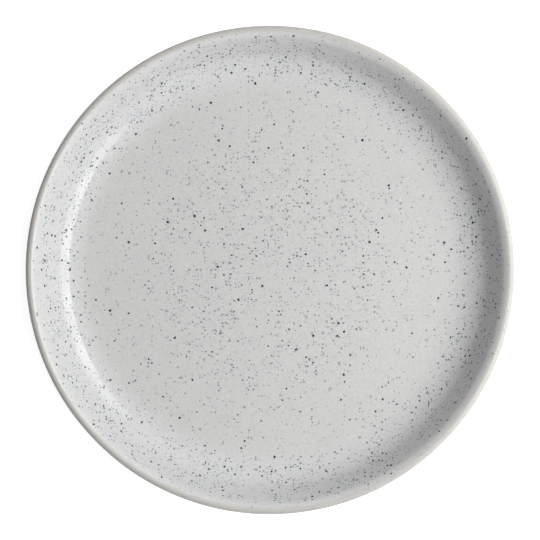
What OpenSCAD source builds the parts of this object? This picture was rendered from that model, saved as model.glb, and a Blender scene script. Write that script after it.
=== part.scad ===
// A coupe dinner plate: a stoneware body turned in one piece, and the two glaze skins fused to it.
// Origin: centre of the circle that the foot ring stands on. +Z is up, through the middle of the well.

/* [Plate] */
// Diameter over the lip
plate_d = 260; // [200:1:320]
// Height from the foot to the top of the lip
plate_h = 30; // [26:0.5:36]
// Thickness of the floor over the foot ring
floor_t = 5.5; // [4.5:0.1:7]

/* [Rim] */
// Radius of the rolled lip
lip_r = 2.4; // [1.8:0.1:3]
// Radius of the shoulder that eases the inner wall over into the lip
shoulder_r = 10; // [6:0.5:14]
// Slope at which the shoulder meets the lip, in degrees
shoulder_angle = 32; // [22:1:42]
// Slope of the short straight wall below the shoulder, in degrees
wall_angle = 58; // [48:1:64]
// Radius of the tight part of the cove, below the wall
cove_r = 18; // [14:0.5:22]
// Radius of the gentle part of the cove, where it leaves the well
well_edge_r = 30; // [22:1:40]
// Slope at which the gentle part meets the tight one, in degrees
well_edge_angle = 18; // [10:1:24]
// Radius of the belly, where the underside turns up into the wall
belly_r = 26; // [20:1:30]
// Rise of the underside from the foot ring to the belly, in degrees
under_angle = 3; // [0:0.5:6]

/* [Foot ring] */
// How far the lip stands out past the face that the plate stands on
overhang = 47.5; // [42:0.5:70]
// Width of that face
foot_w = 3; // [2:0.1:6]
// Depth of the recess inside the ring
recess_h = 3; // [2.7:0.1:4.5]
// Draft of the ring's sides, in degrees
foot_draft = 16; // [5:1:30]
// Radius of the worn edges of the face
foot_edge_r = 0.7; // [0.3:0.1:0.9]
// Radius of the fillet outside the ring
foot_fillet_r = 1.2; // [0.8:0.1:1.5]
// Radius of the fillet inside the ring
recess_fillet_r = 1.3; // [0.8:0.1:1.6]

/* [Glaze] */
// Glaze on the lip, the walls and the underside
skin_t = 0.25; // [0.15:0.05:0.35]
// Glaze on the floor of the well
well_t = 0.5; // [0.3:0.05:0.9]
// Extra depth of the glaze that pools in the cove
pool_t = 0.3; // [0:0.05:0.6]
// Height above the table where the glaze stops on the foot ring
dry_h = 1.2; // [1.1:0.05:1.3]
// Radius of the rolled edge of the glaze there
roll_r = 0.35; // [0.35:0.01:0.4]

/* [Hidden] */
$fn = 180;
// How far the straight steps of an outline may lie off the true arc
arc_gap = 0.01;

plate_r = plate_d / 2;
foot_r = plate_r - overhang;
well_z = recess_h + floor_t;
lip_centre = [plate_r - lip_r, plate_h - lip_r];
cove_turn = wall_angle - well_edge_angle;
// The pool is deepest in the middle of the tight cove, which stands off its corner by this share of its radius
stand_off_share = 1 / cos(cove_turn / 2) - 1;
clay_cove_r = cove_r - pool_t / stand_off_share;
// The rolled edge leaves the skin at this angle off the square to the foot ring's side
roll_start = acos(skin_t / roll_r);

function reversed(points) = [for (i = [len(points) - 1:-1:0]) points[i]];

// Leaves out the end of an arc where the next arc starts
function but_last(points) = [for (i = [0:len(points) - 2]) points[i]];

// A point at distance d from p in direction a
function along(p, a, d) = p + d * [cos(a), sin(a)];

// Where the line through p in direction a meets the line through q in direction b
function crossing(p, a, q, b) =
    along(p, a, ((q.x - p.x) * sin(b) - (q.y - p.y) * cos(b)) / sin(b - a));

// An arc about a centre, in as many steps as its radius needs
function arc(centre, r, from, to) =
    let (steps = ceil(abs(to - from) / (2 * acos(1 - arc_gap / r))))
    [for (i = [0:steps]) along(centre, from + (to - from) * i / steps, r)];

// The arc of radius r that rounds a corner where the outline turns from direction a to direction b
function rounded(corner, a, b, r) =
    let (
        side = sign(b - a),
        reach = r * tan(abs(b - a) / 2),
        centre = along(along(corner, a, -reach), a + side * 90, r)
    )
    arc(centre, r, a - side * 90, b - side * 90);

// The lip is tangent to the shoulder inside it
shoulder_centre = along(lip_centre, shoulder_angle + 90, lip_r - shoulder_r);

// How far the two corners of the cove lie apart when its two arcs meet
function between_corners(cove) = well_edge_r * tan(well_edge_angle / 2) + cove * tan(cove_turn / 2);

// Corners of half the section before they are rounded. A skin of 0 gives the glazed plate, and skin_t the clay
function wall_top(skin) = along(shoulder_centre, wall_angle + 90, shoulder_r - skin);
function lip_outside(skin) = along(lip_centre, wall_angle - 90, lip_r - skin);
function cove_corner(skin, well_skin, cove) =
    let (rise = between_corners(cove) * sin(well_edge_angle))
    crossing([0, well_z - well_skin + rise], 0, wall_top(skin), wall_angle);
function well_edge_corner(skin, well_skin, cove) =
    along(cove_corner(skin, well_skin, cove), well_edge_angle, -between_corners(cove));
function foot_outside(skin) = [foot_r + (skin_t - skin) / cos(foot_draft), 0];
function foot_inside(skin) = [foot_r - foot_w - (skin_t - skin) / cos(foot_draft), 0];
function foot_root(skin) =
    crossing([foot_r, recess_h + skin], under_angle, foot_outside(skin), 90 - foot_draft);
function recess_root(skin) = crossing([0, recess_h + skin], 0, foot_inside(skin), 90 + foot_draft);
function belly_corner(skin) = crossing(foot_root(skin), under_angle, lip_outside(skin), wall_angle);

// From the middle of the well over the lip to the outer side of the foot ring
function upper_outline(skin, well_skin, cove) = concat(
    [[0, well_z - well_skin]],
    but_last(rounded(well_edge_corner(skin, well_skin, cove), 0, well_edge_angle, well_edge_r)),
    rounded(cove_corner(skin, well_skin, cove), well_edge_angle, wall_angle, cove),
    but_last(arc(shoulder_centre, shoulder_r - skin, wall_angle + 90, shoulder_angle + 90)),
    arc(lip_centre, lip_r - skin, shoulder_angle + 90, wall_angle - 90),
    rounded(belly_corner(skin), wall_angle + 180, under_angle + 180, belly_r - skin),
    rounded(foot_root(skin), under_angle + 180, 270 - foot_draft, foot_fillet_r)
);

// From the inner side of the foot ring to the middle of the recess
function recess_outline(skin) = concat(
    rounded(recess_root(skin), 90 + foot_draft, 180, recess_fillet_r),
    [[0, recess_h + skin]]
);

// The glaze ends on the ring's side in a roll, from the skin's face down to the bare clay
function outer_roll() =
    arc(crossing([0, dry_h], 0, foot_outside(skin_t), 90 - foot_draft), roll_r,
        roll_start - foot_draft, -90 - foot_draft);
function inner_roll() =
    arc(crossing([0, dry_h], 0, foot_inside(skin_t), 90 + foot_draft), roll_r,
        270 + foot_draft, 180 + foot_draft - roll_start);

clay_top = upper_outline(skin_t, well_t, clay_cove_r);
clay_recess = recess_outline(skin_t);
outer_roll_points = outer_roll();
inner_roll_points = inner_roll();

module stoneware_body() {
    outer_edge = rounded(foot_outside(skin_t), 270 - foot_draft, 180, foot_edge_r);
    inner_edge = rounded(foot_inside(skin_t), 180, 90 + foot_draft, foot_edge_r);
    outer_dry_end = outer_roll_points[len(outer_roll_points) - 1];
    inner_dry_end = inner_roll_points[0];
    color("tan") rotate_extrude() polygon(concat(
        clay_top, [outer_dry_end], outer_edge, inner_edge, [inner_dry_end], clay_recess
    ));
}

module glaze_coat() {
    color("whitesmoke") rotate_extrude() polygon(concat(
        upper_outline(0, 0, cove_r), outer_roll_points, reversed(clay_top)
    ));
}

module recess_glaze() {
    color("gainsboro") rotate_extrude() polygon(concat(
        inner_roll_points, recess_outline(0), reversed(clay_recess)
    ));
}

stoneware_body();
glaze_coat();
recess_glaze();
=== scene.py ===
import math

import bmesh
import bpy
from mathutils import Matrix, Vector, noise


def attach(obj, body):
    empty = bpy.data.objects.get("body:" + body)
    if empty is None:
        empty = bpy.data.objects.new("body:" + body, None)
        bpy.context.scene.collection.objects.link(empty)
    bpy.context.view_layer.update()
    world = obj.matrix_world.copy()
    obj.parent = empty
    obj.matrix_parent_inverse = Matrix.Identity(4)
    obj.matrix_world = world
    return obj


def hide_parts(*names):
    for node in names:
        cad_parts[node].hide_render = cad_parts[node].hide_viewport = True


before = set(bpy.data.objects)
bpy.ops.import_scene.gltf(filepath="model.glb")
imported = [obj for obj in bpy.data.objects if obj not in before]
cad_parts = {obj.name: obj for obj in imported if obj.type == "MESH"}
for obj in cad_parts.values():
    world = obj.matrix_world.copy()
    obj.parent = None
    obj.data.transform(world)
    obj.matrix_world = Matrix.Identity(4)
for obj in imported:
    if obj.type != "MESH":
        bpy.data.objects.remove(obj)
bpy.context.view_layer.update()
mm = 0.001
print("frame loaded")


# the outlines are drawn in the plane of radius and height, in millimetres

def along(point, angle, distance):
    turn = math.radians(angle)
    return point + Vector((math.cos(turn), math.sin(turn))) * distance


def crossing(p, a, q, b):  # where the line through p in direction a meets the line through q in direction b
    a, b = math.radians(a), math.radians(b)
    reach = ((q.x - p.x) * math.sin(b) - (q.y - p.y) * math.cos(b)) / math.sin(b - a)
    return p + Vector((math.cos(a), math.sin(a))) * reach


def startOutline(bm, point):
    return bm.verts.new((point.x * mm, 0, point.y * mm))


def drawLine(bm, tip, target, steps=1):
    stride = (Vector((target.x * mm, 0, target.y * mm)) - tip.co) / steps
    for _ in range(steps):
        tip = bmesh.ops.extrude_vert_indiv(bm, verts=[tip])["verts"][0]
        bmesh.ops.translate(bm, verts=[tip], vec=stride)
    return tip


def drawArc(bm, tip, centre, turn, steps):
    spun = bmesh.ops.spin(bm, geom=[tip], cent=(centre.x * mm, 0, centre.y * mm), axis=(0, -1, 0),
                          angle=math.radians(turn), steps=steps)
    return [part for part in spun["geom_last"] if isinstance(part, bmesh.types.BMVert)][0]


def drawRounded(bm, tip, corner, arriving, leaving, radius, lineSteps, arcSteps):
    turn = leaving - arriving
    side = math.copysign(90, turn)
    arcStart = along(corner, arriving, -radius * math.tan(math.radians(abs(turn) / 2)))
    tip = drawLine(bm, tip, arcStart, lineSteps)
    return drawArc(bm, tip, along(arcStart, arriving + side, radius), turn, arcSteps)


plateForm = {               # the same sizes as the solids
    "plateRadius": 130.0,
    "plateHeight": 30.0,
    "floorThickness": 5.5,
    "lipRadius": 2.4,
    "shoulderRadius": 10.0,
    "shoulderAngle": 32.0,
    "wallAngle": 58.0,
    "coveRadius": 18.0,
    "wellEdgeRadius": 30.0,
    "wellEdgeAngle": 18.0,
    "bellyRadius": 26.0,
    "underAngle": 3.0,
    "footRadius": 82.5,
    "footWidth": 3.0,
    "recessHeight": 3.0,
    "footDraft": 16.0,
    "footEdgeRadius": 0.7,
    "footFilletRadius": 1.2,
    "recessFilletRadius": 1.3,
    "skin": 0.25,
    "wellGlaze": 0.5,
    "poolGlaze": 0.3,
    "dryHeight": 1.2,
    "rollRadius": 0.35,
    "segments": 320,
    "waver": 0.08,          # how far hand and kiln have moved the form, and over what length
    "waverLength": 55.0,
    "waverSeed": 5,
    "stillHeight": 1.5,     # the foot stays true up to here, and the drift is full this much higher
    "waverRise": 4.0,
    "mergeDistance": 0.001,
}
drawnSteps = {              # how finely each stretch of the outline is drawn, and twice as finely in glaze
    "well": 20,
    "wellEdge": 8,
    "cove": 14,
    "wall": 4,
    "shoulder": 4,
    "lip": 10,
    "outside": 4,
    "belly": 14,
    "underside": 4,
    "footFillet": 4,
    "footSide": 6,
    "footEdge": 8,
    "footFace": 4,
    "recessSide": 2,
    "recessFillet": 6,
    "glazedFillet": 10,
    "recess": 20,
    "rollFlank": 2,
    "roll": 8,
}

clayCoveRadius = plateForm["coveRadius"] - plateForm["poolGlaze"] / (
    1 / math.cos(math.radians((plateForm["wallAngle"] - plateForm["wellEdgeAngle"]) / 2)) - 1)
rollStart = math.degrees(math.acos(plateForm["skin"] / plateForm["rollRadius"]))


def plateCorners(skin, wellSkin, coveRadius):
    f = plateForm
    lipCentre = Vector((f["plateRadius"] - f["lipRadius"], f["plateHeight"] - f["lipRadius"]))
    wellHeight = f["recessHeight"] + f["floorThickness"]
    wall, under, draft = f["wallAngle"], f["underAngle"], f["footDraft"]
    proud = (f["skin"] - skin) / math.cos(math.radians(draft))
    shoulderCentre = along(lipCentre, f["shoulderAngle"] + 90, f["lipRadius"] - f["shoulderRadius"])
    wallTop = along(shoulderCentre, wall + 90, f["shoulderRadius"] - skin)
    lipOutside = along(lipCentre, wall - 90, f["lipRadius"] - skin)
    edgeTurn, coveTurn = math.radians(f["wellEdgeAngle"]), math.radians(wall - f["wellEdgeAngle"])
    between = f["wellEdgeRadius"] * math.tan(edgeTurn / 2) + coveRadius * math.tan(coveTurn / 2)
    coveRise = Vector((0, wellHeight - wellSkin + between * math.sin(edgeTurn)))
    cove = crossing(coveRise, 0, wallTop, wall)
    footOutside = Vector((f["footRadius"] + proud, 0))
    footInside = Vector((f["footRadius"] - f["footWidth"] - proud, 0))
    underStart = Vector((f["footRadius"], f["recessHeight"] + skin))
    footRoot = crossing(underStart, under, footOutside, 90 - draft)
    recessMiddle = Vector((0, f["recessHeight"] + skin))
    return {
        "wellMiddle": Vector((0, wellHeight - wellSkin)),
        "wellEdge": along(cove, f["wellEdgeAngle"], -between),
        "cove": cove,
        "wallTop": wallTop,
        "shoulderCentre": shoulderCentre,
        "lipCentre": lipCentre,
        "belly": crossing(footRoot, under, lipOutside, wall),
        "footRoot": footRoot,
        "footOutside": footOutside,
        "footInside": footInside,
        "recessRoot": crossing(recessMiddle, 0, footInside, 90 + draft),
        "recessMiddle": recessMiddle,
    }


glazedCorners = plateCorners(0, 0, plateForm["coveRadius"])
clayCorners = plateCorners(plateForm["skin"], plateForm["wellGlaze"], clayCoveRadius)


# from the well's middle, over the lip, to the foot ring
def drawUpper(bm, tip, c, skin, coveRadius, fineness):
    f = plateForm
    steps = {stretch: count * fineness for stretch, count in drawnSteps.items()}
    edge, wall, shoulder, under = f["wellEdgeAngle"], f["wallAngle"], f["shoulderAngle"], f["underAngle"]
    tip = drawRounded(bm, tip, c["wellEdge"], 0, edge, f["wellEdgeRadius"], steps["well"],
                      steps["wellEdge"])
    tip = drawRounded(bm, tip, c["cove"], edge, wall, coveRadius, 1, steps["cove"])
    tip = drawLine(bm, tip, c["wallTop"], steps["wall"])
    tip = drawArc(bm, tip, c["shoulderCentre"], shoulder - wall, steps["shoulder"])
    tip = drawArc(bm, tip, c["lipCentre"], wall - 180 - shoulder, steps["lip"])
    tip = drawRounded(bm, tip, c["belly"], wall + 180, under + 180, f["bellyRadius"] - skin,
                      steps["outside"], steps["belly"])
    return drawRounded(bm, tip, c["footRoot"], under + 180, 270 - f["footDraft"], f["footFilletRadius"],
                       steps["underside"], steps["footFillet"])


def settle(bm):  # the same slow drift for clay and glaze, fading to nothing at the foot
    f = plateForm
    for vert in bm.verts:
        place = vert.co / (f["waverLength"] * mm)
        share = min(1, max(0, (vert.co.z / mm - f["stillHeight"]) / f["waverRise"]))
        vert.co += noise.noise_vector(place) * f["waver"] * mm * share


def turnPiece(bm, name):
    bmesh.ops.spin(bm, geom=bm.verts[:] + bm.edges[:], cent=(0, 0, 0), axis=(0, 0, 1), angle=math.tau,
                   steps=plateForm["segments"], use_merge=True)
    bmesh.ops.remove_doubles(bm, verts=bm.verts[:], dist=plateForm["mergeDistance"] * mm)
    bmesh.ops.recalc_face_normals(bm, faces=bm.faces[:])
    settle(bm)
    mesh = bpy.data.meshes.new(name)
    bm.to_mesh(mesh)
    bm.free()
    mesh.shade_smooth()
    piece = bpy.data.objects.new(name, mesh)
    bpy.context.scene.collection.objects.link(piece)
    return piece


def makeGlazeCoat():
    f, c, clay, steps = plateForm, glazedCorners, clayCorners, drawnSteps
    rollCentre = crossing(Vector((0, f["dryHeight"])), 0, clay["footOutside"], 90 - f["footDraft"])
    bm = bmesh.new()
    tip = startOutline(bm, c["wellMiddle"])
    tip = drawUpper(bm, tip, c, 0, f["coveRadius"], 2)
    tip = drawLine(bm, tip, along(rollCentre, rollStart - f["footDraft"], f["rollRadius"]),
                   steps["rollFlank"])
    drawArc(bm, tip, rollCentre, -90 - rollStart, steps["roll"])
    tip = startOutline(bm, clay["wellMiddle"])
    tip = drawUpper(bm, tip, clay, f["skin"], clayCoveRadius, 1)
    drawLine(bm, tip, along(rollCentre, -90 - f["footDraft"], f["rollRadius"]))
    return turnPiece(bm, "glazeCoat")


def makeClayBody():
    f, c, steps = plateForm, clayCorners, drawnSteps
    draft = f["footDraft"]
    bm = bmesh.new()
    tip = startOutline(bm, c["wellMiddle"])
    tip = drawUpper(bm, tip, c, f["skin"], clayCoveRadius, 1)
    tip = drawRounded(bm, tip, c["footOutside"], 270 - draft, 180, f["footEdgeRadius"], steps["footSide"],
                      steps["footEdge"])
    tip = drawRounded(bm, tip, c["footInside"], 180, 90 + draft, f["footEdgeRadius"], steps["footFace"],
                      steps["footEdge"])
    tip = drawRounded(bm, tip, c["recessRoot"], 90 + draft, 180, f["recessFilletRadius"],
                      steps["footSide"], steps["recessFillet"])
    drawLine(bm, tip, c["recessMiddle"], steps["recess"])
    return turnPiece(bm, "clayBody")


def makeRecessGlaze():
    f, c, clay, steps = plateForm, glazedCorners, clayCorners, drawnSteps
    draft = f["footDraft"]
    rollCentre = crossing(Vector((0, f["dryHeight"])), 0, clay["footInside"], 90 + draft)
    rollEnd = along(rollCentre, 270 + draft, f["rollRadius"])
    bm = bmesh.new()
    tip = startOutline(bm, rollEnd)
    tip = drawArc(bm, tip, rollCentre, -90 - rollStart, steps["roll"])
    tip = drawRounded(bm, tip, c["recessRoot"], 90 + draft, 180, f["recessFilletRadius"],
                      steps["recessSide"], steps["glazedFillet"])
    drawLine(bm, tip, c["recessMiddle"], 2 * steps["recess"])
    tip = startOutline(bm, rollEnd)
    tip = drawRounded(bm, tip, clay["recessRoot"], 90 + draft, 180, f["recessFilletRadius"],
                      steps["recessSide"], steps["recessFillet"])
    drawLine(bm, tip, clay["recessMiddle"], steps["recess"])
    return turnPiece(bm, "recessGlaze")


noise.seed_set(plateForm["waverSeed"])
glazeCoat = makeGlazeCoat()
clayBody = makeClayBody()
recessGlaze = makeRecessGlaze()
for piece in (glazeCoat, clayBody, recessGlaze):
    print("turned", piece.name, len(piece.data.polygons))

for piece, node, slotName in ((glazeCoat, "glaze_coat", "glaze"), (clayBody, "stoneware_body", "stoneware"),
                              (recessGlaze, "recess_glaze", "glaze")):
    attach(piece, "root")
    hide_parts(node)


def addNode(tree, kind, inputs=None, **settings):
    made = tree.nodes.new(kind)
    for name, value in settings.items():
        setattr(made, name, value)
    for name, value in (inputs or {}).items():
        if isinstance(value, bpy.types.NodeSocket):
            tree.links.new(value, made.inputs[name])
        else:
            made.inputs[name].default_value = value
    return made


def maths(tree, operation, a, b=0.0):
    return addNode(tree, "ShaderNodeMath", {0: a, 1: b}, operation=operation).outputs[0]


def plus(tree, a, b):
    return maths(tree, "ADD", a, b)


def minus(tree, a, b):
    return maths(tree, "SUBTRACT", a, b)


def times(tree, a, b):
    return maths(tree, "MULTIPLY", a, b)


def vectorMaths(tree, operation, a, b):
    return addNode(tree, "ShaderNodeVectorMath", {0: a, 1: b}, operation=operation).outputs[0]


def ramp(tree, value, low, high, toLow=0.0, toHigh=1.0):  # a smooth rise between two values
    inputs = {"Value": value, "From Min": low, "From Max": high, "To Min": toLow, "To Max": toHigh}
    return addNode(tree, "ShaderNodeMapRange", inputs, interpolation_type="SMOOTHSTEP").outputs[0]


def mixColour(tree, share, a, b):
    return addNode(tree, "ShaderNodeMix", {0: share, 6: a, 7: b}, data_type="RGBA").outputs[2]


def cloud(tree, place, size, detail=2.0):  # soft noise with patches about this big, in metres
    inputs = {"Vector": place, "Scale": 1 / size, "Detail": detail}
    return addNode(tree, "ShaderNodeTexNoise", inputs).outputs["Fac"]


def distanceFromAxis(tree, x, y):
    return maths(tree, "SQRT", plus(tree, times(tree, x, x), times(tree, y, y)))


def startGroup(name, inputs, outputs):
    group = bpy.data.node_groups.new(name, "ShaderNodeTree")
    for label, kind, value in inputs:
        socket = group.interface.new_socket(name=label, in_out="INPUT", socket_type="NodeSocket" + kind)
        if kind == "Float":
            socket.default_value = value
    for label, kind in outputs:
        group.interface.new_socket(name=label, in_out="OUTPUT", socket_type="NodeSocket" + kind)
    return group, group.nodes.new("NodeGroupInput").outputs, group.nodes.new("NodeGroupOutput").inputs


speckForm = {
    "smallest": 0.45,       # the smallest grain of a kind, against its largest
    "raggedness": 3.5,      # how many bumps an edge has in the length of one spacing
}


# round grains of mixed size, sunk at random depths, so that the surface cuts each one differently
def makeSpeckGroup():
    group, given, result = startGroup(
        "specks",
        [("Place", "Vector", None), ("Spacing", "Float", 0.002), ("Size", "Float", 0.0003),
         ("Amount", "Float", 0.5), ("Softness", "Float", 0.25), ("Wobble", "Float", 0.12),
         ("Salt", "Float", 0.0)],
        [("Mask", "Float"), ("Tone", "Float")])
    scaled = addNode(group, "ShaderNodeVectorMath", {0: given["Place"]}, operation="SCALE")
    group.links.new(maths(group, "DIVIDE", 1.0, given["Spacing"]), scaled.inputs["Scale"])
    moved = vectorMaths(group, "ADD", scaled.outputs[0], given["Salt"])
    ragged = addNode(group, "ShaderNodeTexNoise",
                     {"Vector": moved, "Scale": speckForm["raggedness"], "Detail": 1.0})
    centred = vectorMaths(group, "SUBTRACT", ragged.outputs["Color"], (0.5, 0.5, 0.5))
    pushed = addNode(group, "ShaderNodeVectorMath", {0: centred}, operation="SCALE")
    group.links.new(given["Wobble"], pushed.inputs["Scale"])
    place = vectorMaths(group, "ADD", moved, pushed.outputs[0])
    cells = addNode(group, "ShaderNodeTexVoronoi", {"Vector": place, "Scale": 1.0})
    dice = addNode(group, "ShaderNodeSeparateColor", {0: cells.outputs["Color"]}).outputs
    grown = ramp(group, dice[1], 0.0, 1.0, speckForm["smallest"], 1.0)
    radius = times(group, maths(group, "DIVIDE", given["Size"], given["Spacing"]), grown)
    outside = times(group, radius, plus(group, 1.0, given["Softness"]))
    inside = times(group, radius, minus(group, 1.0, given["Softness"]))
    there = maths(group, "LESS_THAN", dice[0], given["Amount"])
    mask = times(group, ramp(group, cells.outputs["Distance"], outside, inside), there)
    group.links.new(mask, result["Mask"])
    group.links.new(dice[2], result["Tone"])
    return group


# fine clay texture: sand grains and the faint rings that the turning left
def makeGrainGroup():
    group, given, result = startGroup(
        "clayGrain", [("Place", "Vector", None), ("Grain", "Float", 0.0006), ("Rings", "Float", 0.0012)],
        [("Grain", "Float"), ("Rings", "Float")])
    x, y, z = addNode(group, "ShaderNodeSeparateXYZ", {0: given["Place"]}).outputs
    radius = distanceFromAxis(group, x, y)
    section = addNode(group, "ShaderNodeCombineXYZ", {0: maths(group, "DIVIDE", radius, given["Rings"]),
                                                      1: maths(group, "DIVIDE", z, given["Rings"])})
    rings = addNode(group, "ShaderNodeTexNoise",
                    {"Vector": section.outputs[0], "Scale": 1.0, "Detail": 2.0})
    grains = addNode(group, "ShaderNodeTexNoise",
                     {"Vector": given["Place"], "Detail": 3.0, "Roughness": 0.65})
    group.links.new(maths(group, "DIVIDE", 1.0, given["Grain"]), grains.inputs["Scale"])
    group.links.new(grains.outputs["Fac"], result["Grain"])
    group.links.new(rings.outputs["Fac"], result["Rings"])
    return group


speckGroup = makeSpeckGroup()
grainGroup = makeGrainGroup()


def addSpecks(tree, place, amount, spacing, size, softness, wobble, salt):
    inputs = {"Place": place, "Amount": amount, "Spacing": spacing, "Size": size, "Softness": softness,
              "Wobble": wobble, "Salt": salt}
    return addNode(tree, "ShaderNodeGroup", inputs, node_tree=speckGroup).outputs


glazeFinish = {
    "middle": (0.52, 0.52, 0.514, 1),       # over the well
    "thick": (0.555, 0.561, 0.558, 1),      # where it pools in the cove and on the wall
    "thin": (0.495, 0.48, 0.456, 1),        # where it breaks over the lip
    "thinGrain": (0.42, 0.4, 0.37, 1),
    "cloudWarm": (0.545, 0.538, 0.518, 1),
    "bodyGrain": (0.36, 0.35, 0.335, 1),    # the clay's grain, seen faintly through the glaze
    "black": (0.015, 0.022, 0.042, 1),
    "navy": (0.045, 0.065, 0.13, 1),
    "coveNavy": (0.03, 0.06, 0.14, 1),      # bluer where the glaze is thick
    "grey": (0.255, 0.275, 0.32, 1),
    "coveGrey": (0.17, 0.235, 0.34, 1),
    "bloom": (0.33, 0.385, 0.5, 1),
    "rust": (0.42, 0.24, 0.15, 1),
    "roughness": 0.07,
    "unevenRoughness": 0.06,                # how much rougher it is in its dull patches, and over the lip
    "thinRoughness": 0.1,
    "ior": 1.5,
    "swell": 0.00005,                       # heights of the surface's slow waves, fine pits and sunk specks
    "pits": 0.0000025,
    "sunkSpecks": 0.000008,
    "upwardFacing": (-0.2, 0.2),            # from the plate's outside to its upper side
    "breakAngle": 50,                       # the lip's corner that the glaze runs off
    "breakWaver": 0.0018,
    "breakWaverSize": 0.0035,
    "breakReach": (0.0003, 0.0016),
    "thickRadii": (0.094, 0.108),
    "thickShare": 0.85,
    "thinShare": 0.85,
    "cloudSize": 0.006,
    "cloudShare": 0.55,
    "driftSize": 0.045,
    "driftShare": 0.45,
    "warmLimits": (0.44, 0.6),
    "warmShare": 0.5,
    "grainSize": 0.0009,
    "grainLimits": (0.35, 0.65),
    "grainShare": 0.24,
    "thinGrainSize": 0.0005,
    "thinGrainLimits": (0.3, 0.7),
    "rustShare": 0.5,
    "freckleShare": 0.55,
    "hemHeights": (0.0009, 0.0022),         # the brown line where the glaze ends on the foot ring
    "hemRadii": (0.07, 0.075),
    "hemShare": 0.6,
    "dullPatchSize": 0.004,
    "swellSize": 0.012,
    "pitSize": 0.0009,
}

# many specks in the middle, few around it, many again up the cove, hardly any on the lip
speckZones = {
    "innerRadii": (0.052, 0.078),
    "innerShares": (1.0, 0.42),
    "coveRadii": (0.1, 0.108),
    "coveShare": 0.75,
    "lipRadii": (0.1205, 0.1265),
    "lipShare": 0.25,
    "outsideHeights": (0.022, 0.029),
    "outsideShares": (0.6, 0.15),
    "flockSize": 0.0075,
    "flockLimits": (0.36, 0.64),
    "flockShares": (0.35, 1.15),
    "faintest": 0.45,                       # weight of the palest speck of a kind, against its darkest
}

glazeSpecks = (  # spacing, size, share, softness, wobble, weight, colour, salt
    (0.00095, 0.00027, 0.95, 0.5, 0.1, 0.55, "grey", 3.1),
    (0.0024, 0.00095, 0.4, 0.85, 0.25, 0.34, "bloom", 11.7),
    (0.0014, 0.00043, 0.62, 0.3, 0.2, 0.95, "navy", 23.3),
    (0.002, 0.00065, 0.56, 0.18, 0.25, 1.0, "black", 37.9),
    (0.0034, 0.00072, 0.5, 0.15, 0.3, 1.0, "black", 51.4),
)
rustSpecks = {"amount": 0.35, "spacing": 0.0034, "size": 0.0003, "softness": 0.5, "wobble": 0.25,
              "salt": 71.2}
lipFreckles = {"amount": 0.6, "spacing": 0.0012, "size": 0.0002, "softness": 0.4, "wobble": 0.3,
               "salt": 91.6}


def speckDensity(tree, place, radius, z, upper):
    s = speckZones
    inner = ramp(tree, radius, *s["innerRadii"], *s["innerShares"])
    cove = ramp(tree, radius, *s["coveRadii"], 0.0, s["coveShare"])
    lip = ramp(tree, radius, *s["lipRadii"], 1.0, s["lipShare"])
    above = times(tree, times(tree, plus(tree, inner, cove), lip), upper)
    outside = ramp(tree, z, *s["outsideHeights"], *s["outsideShares"])
    below = times(tree, outside, minus(tree, 1.0, upper))
    flocks = ramp(tree, cloud(tree, place, s["flockSize"]), *s["flockLimits"], *s["flockShares"])
    return times(tree, plus(tree, above, below), flocks)


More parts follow.
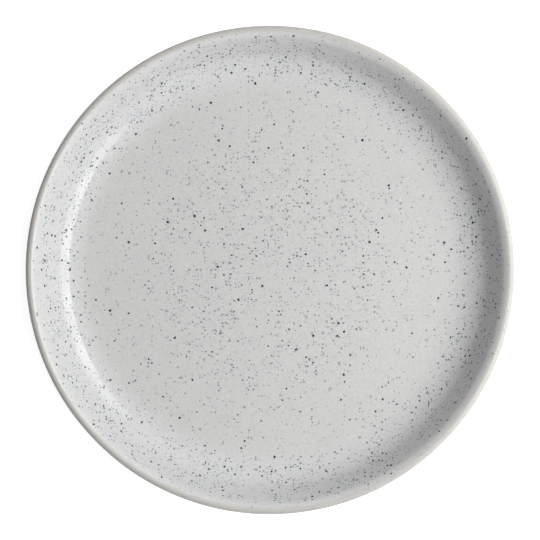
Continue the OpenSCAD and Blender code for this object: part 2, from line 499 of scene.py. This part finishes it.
def makeGlaze():
    g = glazeFinish
    material = bpy.data.materials.new("speckledGlaze")
    material.use_nodes = True
    tree = material.node_tree
    shader = tree.nodes["Principled BSDF"]
    place = addNode(tree, "ShaderNodeTexCoord").outputs["Object"]
    x, y, z = addNode(tree, "ShaderNodeSeparateXYZ", {0: place}).outputs
    radius = distanceFromAxis(tree, x, y)
    normal = addNode(tree, "ShaderNodeNewGeometry").outputs["Normal"]
    facing = addNode(tree, "ShaderNodeSeparateXYZ", {0: normal}).outputs
    upper = ramp(tree, facing[2], *g["upwardFacing"])

    # where the glaze lies thick and where it has run thin
    turn = math.radians(g["breakAngle"])
    lipRadius = (plateForm["plateRadius"] - plateForm["lipRadius"]) * mm
    lipHeight = (plateForm["plateHeight"] - plateForm["lipRadius"]) * mm
    outward = times(tree, minus(tree, radius, lipRadius), math.cos(turn))
    upward = times(tree, minus(tree, z, lipHeight), math.sin(turn))
    waver = minus(tree, cloud(tree, place, g["breakWaverSize"], 3.0), 0.5)
    waver = times(tree, waver, g["breakWaver"])
    thin = ramp(tree, plus(tree, plus(tree, outward, upward), waver), *g["breakReach"])
    thick = times(tree, ramp(tree, radius, *g["thickRadii"]), upper)

    # the ground colour, with soft clouds and the clay's grain
    clouds = times(tree, cloud(tree, place, g["cloudSize"], 3.0), g["cloudShare"])
    drift = times(tree, cloud(tree, place, g["driftSize"], 1.0), g["driftShare"])
    warm = ramp(tree, plus(tree, clouds, drift), *g["warmLimits"], 0.0, g["warmShare"])
    colour = mixColour(tree, warm, g["middle"], g["cloudWarm"])
    colour = mixColour(tree, times(tree, thick, g["thickShare"]), colour, g["thick"])
    grain = ramp(tree, cloud(tree, place, g["grainSize"]), *g["grainLimits"], 0.0, g["grainShare"])
    colour = mixColour(tree, grain, colour, g["bodyGrain"])

    density = speckDensity(tree, place, radius, z, upper)
    tints = {"grey": mixColour(tree, thick, g["grey"], g["coveGrey"]),
             "navy": mixColour(tree, thick, g["navy"], g["coveNavy"]),
             "bloom": g["bloom"], "black": g["black"]}
    relief = 0.0
    for spacing, size, share, softness, wobble, weight, tint, salt in glazeSpecks:
        amount = times(tree, density, share)
        mask, tone = addSpecks(tree, place, amount, spacing, size, softness, wobble, salt)
        strength = times(tree, mask, ramp(tree, tone, 0.0, 1.0, weight * speckZones["faintest"], weight))
        colour = mixColour(tree, strength, colour, tints[tint])
        if tint == "black":
            relief = maths(tree, "MAXIMUM", relief, strength)
    rust = addSpecks(tree, place, **rustSpecks)["Mask"]
    colour = mixColour(tree, times(tree, rust, g["rustShare"]), colour, g["rust"])

    # the lip: the clay shows through, with its own fine grain and iron
    grain = ramp(tree, cloud(tree, place, g["thinGrainSize"], 3.0), *g["thinGrainLimits"])
    lipColour = mixColour(tree, grain, g["thinGrain"], g["thin"])
    freckles = addSpecks(tree, place, **lipFreckles)["Mask"]
    lipColour = mixColour(tree, times(tree, freckles, g["freckleShare"]), lipColour, g["rust"])
    colour = mixColour(tree, times(tree, thin, g["thinShare"]), colour, lipColour)

    hem = ramp(tree, z, *g["hemHeights"], g["hemShare"], 0.0)
    hem = times(tree, hem, ramp(tree, radius, *g["hemRadii"]))
    tree.links.new(mixColour(tree, hem, colour, g["rust"]), shader.inputs["Base Color"])

    uneven = times(tree, cloud(tree, place, g["dullPatchSize"]), g["unevenRoughness"])
    rough = plus(tree, plus(tree, uneven, times(tree, thin, g["thinRoughness"])), g["roughness"])
    tree.links.new(rough, shader.inputs["Roughness"])
    shader.inputs["IOR"].default_value = g["ior"]

    swell = times(tree, cloud(tree, place, g["swellSize"]), g["swell"])
    pits = times(tree, cloud(tree, place, g["pitSize"]), g["pits"])
    height = minus(tree, plus(tree, swell, pits), times(tree, relief, g["sunkSpecks"]))
    bump = addNode(tree, "ShaderNodeBump", {"Height": height, "Strength": 1.0, "Distance": 1.0})
    tree.links.new(bump.outputs[0], shader.inputs["Normal"])
    return material


clayFinish = {
    "body": (0.42, 0.32, 0.22, 1),
    "pale": (0.55, 0.45, 0.34, 1),
    "iron": (0.09, 0.05, 0.03, 1),
    "sand": (0.68, 0.6, 0.5, 1),
    "worn": (0.33, 0.27, 0.21, 1),
    "grain": 0.0006,
    "grainLimits": (0.3, 0.7),
    "grainHeight": 0.00005,
    "rings": 0.0009,
    "ringLimits": (0.45, 0.75),
    "ringShare": 0.25,
    "ringHeight": 0.00004,
    "sandShare": 0.7,
    "wornHeights": (0.00008, 0.0005),       # the foot's face is worn up to here, in patches
    "wornPatchSize": 0.009,
    "wornPatchLimits": (0.3, 0.7),
    "wornShare": 0.6,
    "roughness": 0.82,
    "wornGloss": 0.18,
}
ironSpecks = {"amount": 0.6, "spacing": 0.0016, "size": 0.0003, "softness": 0.25, "wobble": 0.35,
              "salt": 7.7}
sandGrains = {"amount": 0.6, "spacing": 0.0011, "size": 0.0002, "softness": 0.3, "wobble": 0.3,
              "salt": 17.9}


def makeClay():
    c = clayFinish
    material = bpy.data.materials.new("bareStoneware")
    material.use_nodes = True
    tree = material.node_tree
    shader = tree.nodes["Principled BSDF"]
    place = addNode(tree, "ShaderNodeTexCoord").outputs["Object"]
    z = addNode(tree, "ShaderNodeSeparateXYZ", {0: place}).outputs[2]
    inputs = {"Place": place, "Grain": c["grain"], "Rings": c["rings"]}
    grain, rings = addNode(tree, "ShaderNodeGroup", inputs, node_tree=grainGroup).outputs
    colour = mixColour(tree, ramp(tree, grain, *c["grainLimits"]), c["body"], c["pale"])
    ringTint = ramp(tree, rings, *c["ringLimits"], 0.0, c["ringShare"])
    colour = mixColour(tree, ringTint, colour, c["worn"])
    iron = addSpecks(tree, place, **ironSpecks)["Mask"]
    colour = mixColour(tree, iron, colour, c["iron"])
    sand = addSpecks(tree, place, **sandGrains)["Mask"]
    colour = mixColour(tree, times(tree, sand, c["sandShare"]), colour, c["sand"])
    patches = ramp(tree, cloud(tree, place, c["wornPatchSize"]), *c["wornPatchLimits"])
    worn = times(tree, ramp(tree, z, *c["wornHeights"], 1.0, 0.0), patches)
    colour = mixColour(tree, times(tree, worn, c["wornShare"]), colour, c["worn"])
    tree.links.new(colour, shader.inputs["Base Color"])
    rough = minus(tree, c["roughness"], times(tree, worn, c["wornGloss"]))
    tree.links.new(rough, shader.inputs["Roughness"])
    height = plus(tree, times(tree, grain, c["grainHeight"]), times(tree, rings, c["ringHeight"]))
    bump = addNode(tree, "ShaderNodeBump", {"Height": height, "Strength": 1.0, "Distance": 1.0})
    tree.links.new(bump.outputs[0], shader.inputs["Normal"])
    return material


speckledGlaze = makeGlaze()
bareStoneware = makeClay()
for piece, material in ((glazeCoat, speckledGlaze), (recessGlaze, speckledGlaze), (clayBody, bareStoneware)):
    piece.data.materials.append(material)
print("materials made")


studio = {
    "floorColour": (0.68, 0.68, 0.68, 1),
    "floorGlow": 0.88,
    "floorSize": 3,
    "domeStrength": 0.01,
    "sideStrength": 1.25,                   # the pale walls of the room, in front and behind
    "sideAzimuth": 60,
    "sideEdge": 0.6,
    "middleHeight": 0.015,                  # what the lamps are aimed at
    "keyAzimuths": (-32, -16, 0, 16, 32),   # a soft light curved round the plate's right side
    "keyElevation": 44,
    "keyDistance": 1.1,
    "keySize": (0.307, 0.693),
    "keyPower": 1.78,
    "ceilingElevation": 70,                 # what the pale ceiling sends back, too broad for a gleam
    "ceilingDistance": 0.75,
    "ceilingSize": (0.6, 0.6),
    "ceilingPower": 3.95,
}


def addPanel(name, azimuth, elevation, distance, size, power):
    light = bpy.data.lights.new(name, "AREA")
    light.shape = "RECTANGLE"
    light.size, light.size_y = size
    light.energy = power
    lamp = bpy.data.objects.new(name, light)
    up, across = math.radians(elevation), math.radians(azimuth)
    toPlate = -Vector((math.cos(up) * math.cos(across), math.cos(up) * math.sin(across), math.sin(up)))
    lamp.location = Vector((0, 0, studio["middleHeight"])) - toPlate * distance
    lamp.rotation_euler = toPlate.to_track_quat("-Z", "Y").to_euler()
    bpy.context.scene.collection.objects.link(lamp)
    return lamp


for number, azimuth in enumerate(studio["keyAzimuths"]):
    addPanel("keyPanel%d" % number, azimuth, studio["keyElevation"], studio["keyDistance"],
             studio["keySize"], studio["keyPower"])
ceiling = addPanel("ceiling", 0, studio["ceilingElevation"], studio["ceilingDistance"],
                   studio["ceilingSize"], studio["ceilingPower"])
ceiling.visible_glossy = False


def seenDirectly(tree):  # 1 for what the camera sees, straight, mirrored or through glass
    rays = addNode(tree, "ShaderNodeLightPath").outputs
    seen = maths(tree, "MAXIMUM", rays["Is Camera Ray"], rays["Is Glossy Ray"])
    return maths(tree, "MAXIMUM", seen, rays["Is Transmission Ray"])


world = bpy.data.worlds.new("studio")
bpy.context.scene.world = world
world.use_nodes = True
sky = world.node_tree
background = sky.nodes["Background"]
background.inputs["Color"].default_value = (1, 1, 1, 1)
direction = addNode(sky, "ShaderNodeTexCoord").outputs["Generated"]
heading = addNode(sky, "ShaderNodeSeparateXYZ", {0: direction}).outputs
across = math.radians(studio["sideAzimuth"])
sideways = plus(sky, times(sky, heading[0], math.cos(across)),
                times(sky, maths(sky, "ABSOLUTE", heading[1]), math.sin(across)))
dome = ramp(sky, sideways, studio["sideEdge"], 1.0, studio["domeStrength"], studio["sideStrength"])
seen = seenDirectly(sky)
level = plus(sky, seen, times(sky, dome, minus(sky, 1.0, seen)))
sky.links.new(level, background.inputs["Strength"])

bm = bmesh.new()
bmesh.ops.create_grid(bm, x_segments=1, y_segments=1, size=studio["floorSize"])
floorMesh = bpy.data.meshes.new("floor")
bm.to_mesh(floorMesh)
bm.free()
floor = bpy.data.objects.new("floor", floorMesh)
bpy.context.scene.collection.objects.link(floor)
paper = bpy.data.materials.new("paper")
paper.use_nodes = True
shader = paper.node_tree.nodes["Principled BSDF"]
shader.inputs["Base Color"].default_value = studio["floorColour"]
shader.inputs["Roughness"].default_value = 1
shader.inputs["Specular IOR Level"].default_value = 0
shader.inputs["Emission Color"].default_value = (1, 1, 1, 1)
glow = times(paper.node_tree, seenDirectly(paper.node_tree), studio["floorGlow"])
paper.node_tree.links.new(glow, shader.inputs["Emission Strength"])
floor.data.materials.append(paper)

viewpoint = {
    "distance": 1.5,        # straight above the lip
    "frameWidth": 287.2,    # how much of the lip's level the picture takes in, in millimetres
    "sensorWidth": 36,
    "clipEnd": 20,
}
camera = bpy.data.cameras.new("camera")
camera.sensor_width = viewpoint["sensorWidth"]
camera.lens = viewpoint["sensorWidth"] * viewpoint["distance"] / (viewpoint["frameWidth"] * mm)
camera.clip_end = viewpoint["clipEnd"]
cameraObject = bpy.data.objects.new("camera", camera)
lipLevel = (plateForm["plateHeight"] - plateForm["lipRadius"]) * mm
cameraObject.location = (0, 0, viewpoint["distance"] + lipLevel)
bpy.context.scene.collection.objects.link(cameraObject)
bpy.context.scene.camera = cameraObject
bpy.context.scene.view_settings.view_transform = "Standard"
print("studio set")
